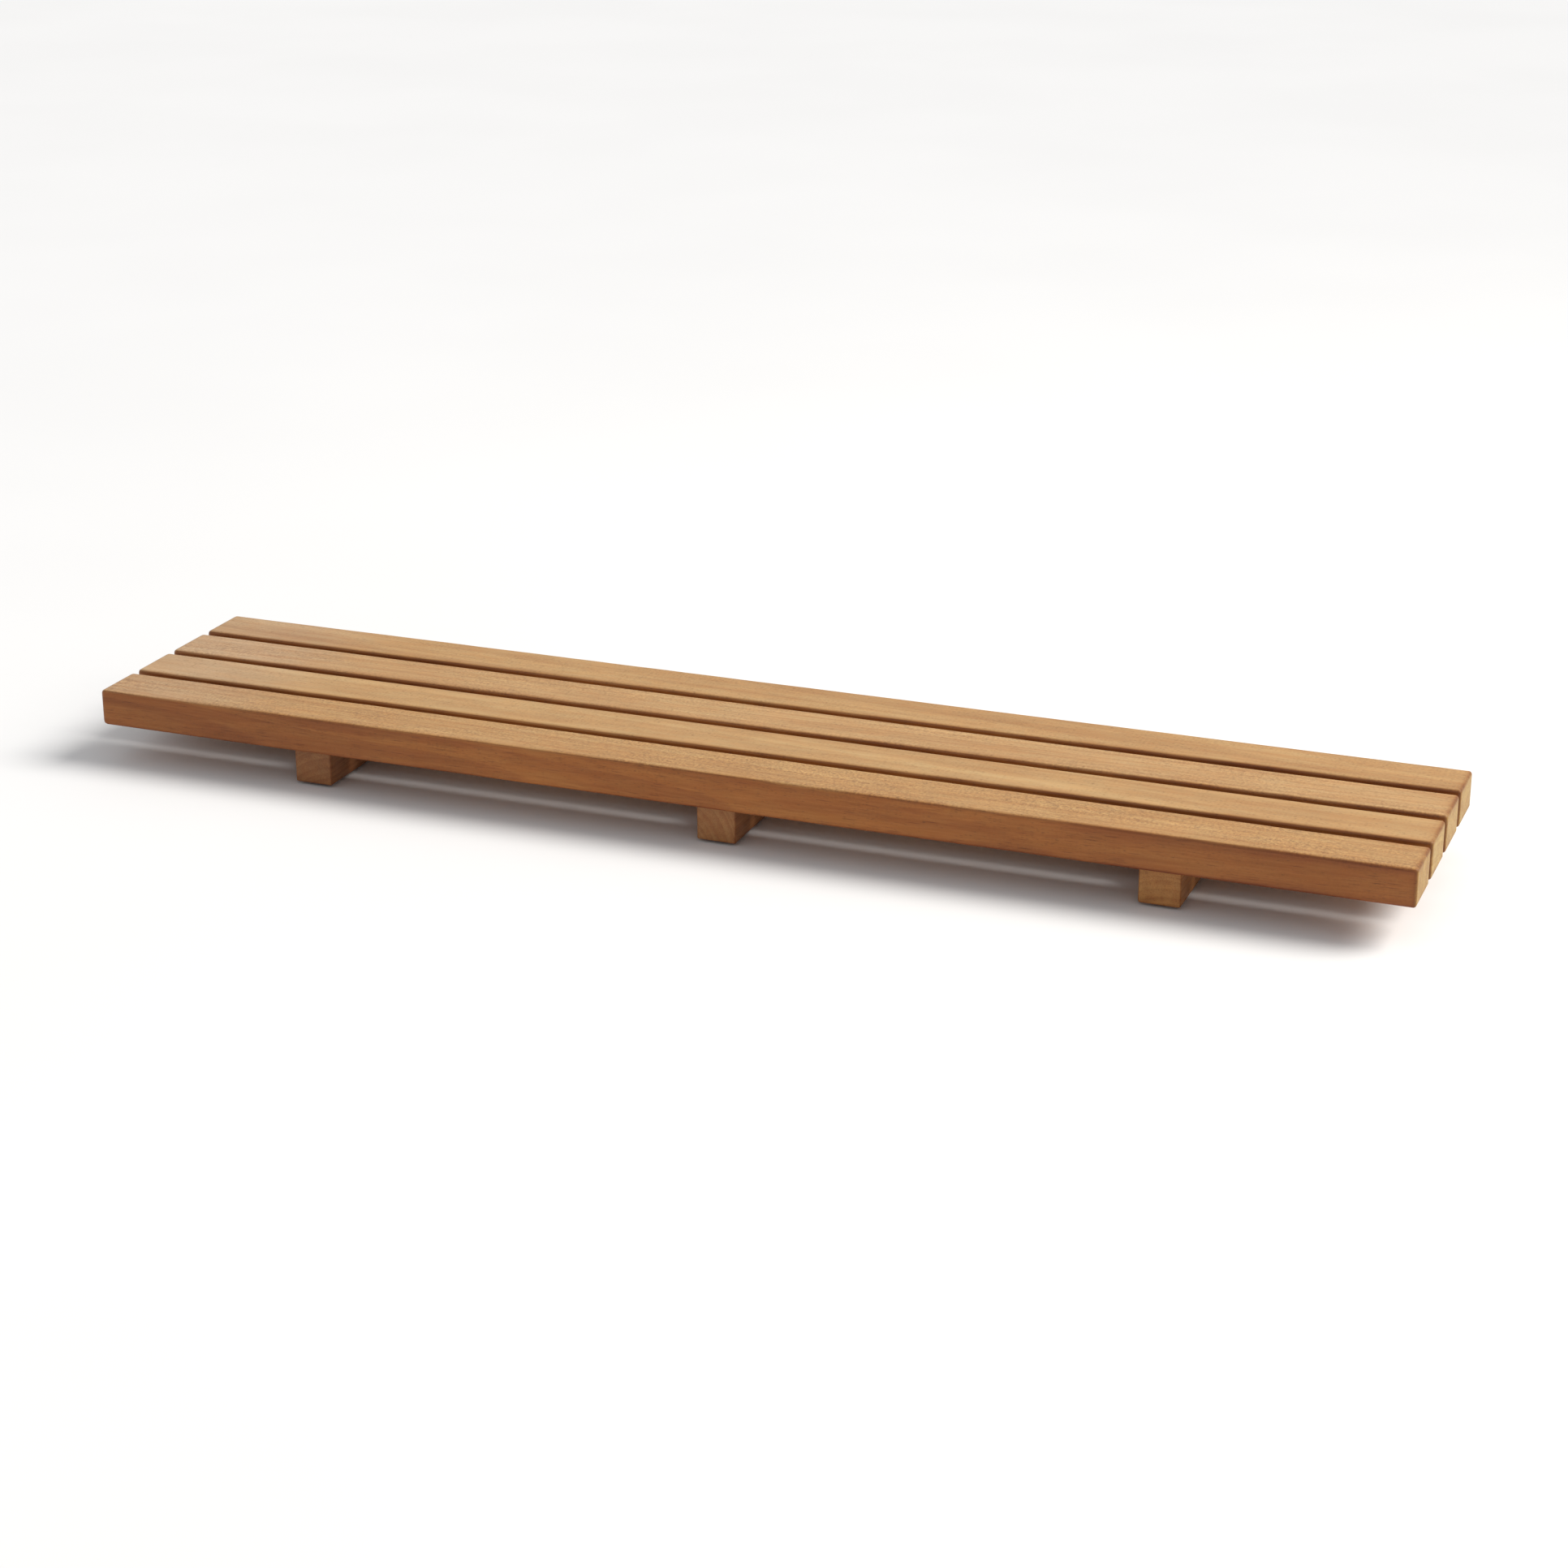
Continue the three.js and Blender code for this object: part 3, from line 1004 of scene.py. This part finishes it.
def add_screw(sizes, head_radius, screw_length):
    """A countersunk wood screw, head down on the Z axis, with its underside at the origin."""
    cone = head_radius - sizes.shank_radius
    step = 0.5 * MM  # how long the shank takes to narrow to the core
    core_top = screw_length - sizes.screw_tip
    body = add_cylinder("screw_pattern", head_radius, 0, sizes.screw_rim, 40)
    with editing(body):
        pick_end_face(body, 1)
        extrude_up(cone, sizes.shank_radius / head_radius)
        extrude_up(sizes.bare_shank - cone - sizes.screw_rim)
        extrude_up(step, sizes.core_radius / sizes.shank_radius)
        extrude_up(core_top - sizes.bare_shank - step)
        extrude_to_point(sizes.screw_tip)
        pick(body, "EDGE", lambda edge: max(vertex.co.z for vertex in edge.verts) < TOUCHING)
        bpy.ops.mesh.bevel(offset=0.15 * MM, segments=2, profile=0.5, affect="EDGES")
    thread = add_thread(sizes, sizes.bare_shank, screw_length)
    trim = 0.4 * MM  # how much of the thread is cut off at each end
    envelope = add_envelope(
        1.02 * sizes.thread_radius, sizes.bare_shank + trim, screw_length - trim, 1.4 * sizes.screw_tip
    )
    combine(thread, envelope, "INTERSECT")
    combine(body, thread, "UNION")
    combine(body, add_drive_punch(sizes), "DIFFERENCE")
    return body


class DUCKBOARD_OT_screws(bpy.types.Operator):
    """Screws: countersunk wood screws, driven up through the battens into the slats"""

    bl_idname = "duckboard.screws"
    bl_label = "Screws"

    def execute(self, context):
        low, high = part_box(f"screw_{BATTENS[0]}_{SLATS[0]}")
        pattern = add_screw(context.scene.duckboard_sizes, (high.x - low.x) / 2, high.z - low.z)
        clean(pattern)
        shade_smooth(pattern, 35)
        remember_place(pattern, Vector((0, 0, 0)))
        steel = steel_material("stainless_steel")
        for side in BATTENS:
            for slat in SLATS:
                node = f"screw_{side}_{slat}"
                screw = copied(pattern, f"wood_{node}", foot_of(node))
                finish_piece(screw, node, steel)
        bpy.data.objects.remove(pattern)
        return {"FINISHED"}


# ---- Rubber feet ----


def add_foot(sizes, radius, total_height):
    """A round rubber foot on the Z axis: a dished, ringed sole and a barbed stem."""
    taper = 0.97  # width of the foot at its top, as a share of its width at the sole
    neck = 0.86  # width of the stem between its barbs, as a share of its width over them
    groove_depth = 0.35 * MM
    stem_height = total_height - sizes.foot_height

    def on_rim(vertex):
        return vertex.co.z < TOUCHING and vertex.co.xy.length > 0.99 * radius

    def on_tip(vertex):
        return vertex.co.z > total_height - TOUCHING

    foot = add_cylinder("foot_pattern", radius, 0, sizes.foot_height, 48)
    with editing(foot):
        pick_end_face(foot, 1)
        bpy.ops.transform.resize(value=(taper, taper, 1), center_override=(0, 0, 0))
        bpy.ops.mesh.inset(thickness=taper * radius - neck * sizes.stem_radius, depth=0)
        for _ in range(3):
            extrude_up(0.28 * stem_height)
            extrude_up(0, 1 / neck)
            extrude_up(0.05 * stem_height, neck)
        pick_end_face(foot, -1)
        for direction in (-1, 1, -1):
            bpy.ops.mesh.inset(thickness=0.16 * radius, depth=0)
            bpy.ops.mesh.inset(thickness=0.06 * radius, depth=direction * groove_depth)
        pick(foot, "EDGE", lambda edge: all(on_rim(vertex) for vertex in edge.verts))
        bpy.ops.mesh.bevel(offset=0.6 * MM, segments=4, profile=0.5, affect="EDGES")
        pick(foot, "EDGE", lambda edge: all(on_tip(vertex) for vertex in edge.verts))
        bpy.ops.mesh.bevel(offset=0.4 * MM, segments=2, profile=0.5, affect="EDGES")
    return foot


class DUCKBOARD_OT_feet(bpy.types.Operator):
    """Feet: round rubber feet with barbed stems, pressed into the battens"""

    bl_idname = "duckboard.feet"
    bl_label = "Rubber feet"

    def execute(self, context):
        low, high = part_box(f"foot_{BATTENS[0]}_{FEET[0]}")
        pattern = add_foot(context.scene.duckboard_sizes, (high.x - low.x) / 2, high.z - low.z)
        clean(pattern)
        shade_smooth(pattern, 35)
        remember_place(pattern, Vector((0, 0, 0)))
        rubber = rubber_material("black_rubber")
        for side in BATTENS:
            for end in FEET:
                node = f"foot_{side}_{end}"
                foot = copied(pattern, f"rubber_{node}", foot_of(node))
                finish_piece(foot, node, rubber)
        bpy.data.objects.remove(pattern)
        return {"FINISHED"}


# ---- Stage ----


def link_light(name, kind, source, **settings):
    """A light that shines towards the board from the direction of source."""
    light = bpy.data.lights.new(name, kind)
    for key, value in settings.items():
        setattr(light, key, value)
    lamp = bpy.data.objects.new(name, light)
    lamp.rotation_euler = Vector(source).to_track_quat("Z", "Y").to_euler()
    bpy.context.scene.collection.objects.link(lamp)
    return lamp


class DUCKBOARD_OT_stage(bpy.types.Operator):
    """Stage: a plain pale floor, soft studio light and the camera"""

    bl_idname = "duckboard.stage"
    bl_label = "Stage"

    def execute(self, context):
        studio = context.scene.duckboard_studio
        self.lay_floor(studio)
        self.set_lights(studio)
        self.place_camera(studio)
        return {"FINISHED"}

    def lay_floor(self, studio):
        bpy.ops.object.select_all(action="DESELECT")
        bpy.ops.mesh.primitive_circle_add(vertices=96, radius=studio.floor_radius, fill_type="NGON")
        floor = named(bpy.context.object, "studio_floor")
        floor.data.materials.append(floor_material("pale_floor"))

    def set_lights(self, studio):
        link_light(
            "key_light",
            "SUN",
            (0.66, 0.26, 0.70),
            energy=studio.key_power,
            angle=studio.key_softness,
            color=(1.0, 0.975, 0.94),
        )
        side_light = link_light(
            "side_light",
            "AREA",
            (1.1, 0.5, 1.24),
            energy=studio.side_power,
            size=1.0,
            color=(1.0, 0.95, 0.87),
        )
        side_light.location = (1.6, 0.5, 1.3)
        world = bpy.data.worlds.new("studio")
        world.use_nodes = True
        tree = world.node_tree
        sky = tree.nodes["Background"]
        sky.inputs["Color"].default_value = (0.97, 0.98, 1.0, 1)
        seen = add_node(tree, "ShaderNodeLightPath").outputs["Is Camera Ray"]
        levels = {0: seen, 3: studio.fill_power, 4: 1.0}
        tree.links.new(add_node(tree, "ShaderNodeMapRange", levels).outputs[0], sky.inputs["Strength"])
        bpy.context.scene.world = world

    def place_camera(self, studio):
        low, high = cad_box
        aim = Vector(
            ((low.x + high.x) / 2 + studio.aim_right, (low.y + high.y) / 2 - studio.aim_front, high.z)
        )
        around, above = studio.azimuth, studio.elevation
        level = math.cos(above)
        back = Vector((math.sin(around) * level, -math.cos(around) * level, math.sin(above)))
        data = bpy.data.cameras.new("camera")
        data.lens = studio.lens
        data.sensor_width = 36.0
        camera = bpy.data.objects.new("camera", data)
        camera.location = aim + back * studio.distance
        camera.rotation_euler = (math.pi / 2 - above, 0, around)
        bpy.context.scene.collection.objects.link(camera)
        bpy.context.scene.camera = camera


# ---- Panel and registration ----


class DUCKBOARD_PT_panel(bpy.types.Panel):
    """Lists the settings and the operators"""

    bl_idname = "DUCKBOARD_PT_panel"
    bl_label = "Duckboard"
    bl_space_type = "VIEW_3D"
    bl_region_type = "UI"
    bl_category = "Duckboard"

    def draw(self, context):
        for operator in OPERATORS:
            self.layout.operator(operator.bl_idname)
        for title, settings in (
            ("Sizes", context.scene.duckboard_sizes),
            ("Colours", context.scene.duckboard_colours),
            ("Studio", context.scene.duckboard_studio),
        ):
            box = self.layout.box()
            box.label(text=title)
            for key in settings.bl_rna.properties.keys():
                if key not in {"rna_type", "name"}:
                    box.prop(settings, key)


OPERATORS = (
    DUCKBOARD_OT_slats,
    DUCKBOARD_OT_battens,
    DUCKBOARD_OT_screws,
    DUCKBOARD_OT_feet,
    DUCKBOARD_OT_stage,
)
SETTINGS = {
    "duckboard_sizes": DuckboardSizes,
    "duckboard_colours": DuckboardColours,
    "duckboard_studio": DuckboardStudio,
}


def register():
    for cls in (*SETTINGS.values(), *OPERATORS, DUCKBOARD_PT_panel):
        bpy.utils.register_class(cls)
    for name, settings in SETTINGS.items():
        setattr(bpy.types.Scene, name, PointerProperty(type=settings))


def unregister():
    for name in SETTINGS:
        delattr(bpy.types.Scene, name)
    for cls in reversed((*SETTINGS.values(), *OPERATORS, DUCKBOARD_PT_panel)):
        bpy.utils.unregister_class(cls)


def main():
    register()
    bpy.ops.duckboard.slats()
    bpy.ops.duckboard.battens()
    bpy.ops.duckboard.screws()
    bpy.ops.duckboard.feet()
    bpy.ops.duckboard.stage()
    bpy.context.scene.view_settings.view_transform = "Standard"


if __name__ == "__main__":
    main()
